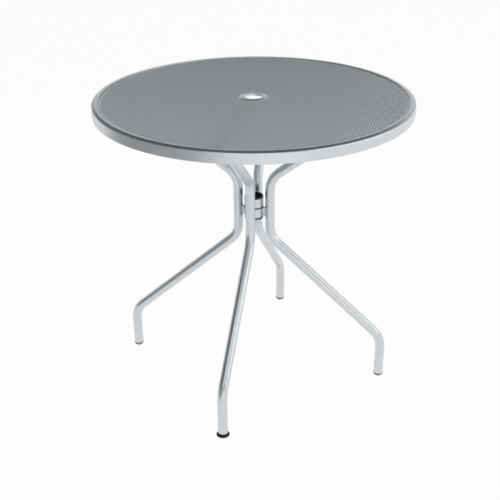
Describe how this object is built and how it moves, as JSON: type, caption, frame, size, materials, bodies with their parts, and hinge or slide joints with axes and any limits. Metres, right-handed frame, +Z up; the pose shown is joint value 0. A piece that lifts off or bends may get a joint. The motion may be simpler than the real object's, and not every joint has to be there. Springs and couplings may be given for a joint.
{
  "type": "garden table",
  "caption": "Round garden table: mesh top in a rolled rim with an umbrella hole, on bent tube legs that meet at stacked collars, with a levelling foot.",
  "frame": {"origin": "on the floor, on the vertical axis of the round top", "axes": "+Z up along the umbrella pole, +X towards the right leg, +Y towards the back leg"},
  "size_m": [0.7619, 0.762, 0.743],
  "materials": {
    "silver_paint": "satin silver powder coat",
    "mesh_paint": "satin silver powder coat on mesh",
    "black_plastic": "satin moulded",
    "grey_plastic": "satin moulded",
    "zinc_steel": "zinc plated"
  },
  "bodies": {
    "table": {"rim_hoop": "silver_paint", "centre_ring": "silver_paint", "upper_collar": "silver_paint", "lower_collar": "silver_paint", "umbrella_ring": "silver_paint", "umbrella_lock_ring": "silver_paint", "leg_right": "silver_paint", "leg_plate_right": "silver_paint", "deck_brace_right": "silver_paint", "collar_link_right": "silver_paint", "leg_back": "silver_paint", "leg_plate_back": "silver_paint", "deck_brace_back": "silver_paint", "collar_link_back": "silver_paint", "leg_left": "silver_paint", "leg_plate_left": "silver_paint", "deck_brace_left": "silver_paint", "collar_link_left": "silver_paint", "leg_front": "silver_paint", "leg_plate_front": "silver_paint", "deck_brace_front": "silver_paint", "collar_link_front": "silver_paint", "mesh_deck": "mesh_paint", "pole_bush": "black_plastic", "collar_spacer": "black_plastic", "bush_lock_ring": "black_plastic", "foot_glide_right": "grey_plastic", "foot_glide_back": "grey_plastic", "foot_glide_left": "grey_plastic", "leveller_insert": "grey_plastic", "brace_rivet_nuts": "zinc_steel", "leg_plate_bolts": "zinc_steel", "leg_plate_washers": "zinc_steel"},
    "pad": {"leveller_pad": "black_plastic"},
    "stud": {"leveller_stud": "zinc_steel"}
  },
  "joints": [
    {"name": "pad_travel", "type": "slide", "parent": "table", "child": "pad", "axis": [0, 0, -1], "range_m": [0, 0.01]},
    {"name": "stud_turn", "type": "hinge", "parent": "pad", "child": "stud", "pos_m": [0, -0.337, 0], "axis": [0, 0, -1], "range_deg": [0, 2880]}
  ],
  "couplings": [
    {"joint": "pad_travel", "follows": "stud_turn", "m_per_rad": 0.0001989}
  ]
}
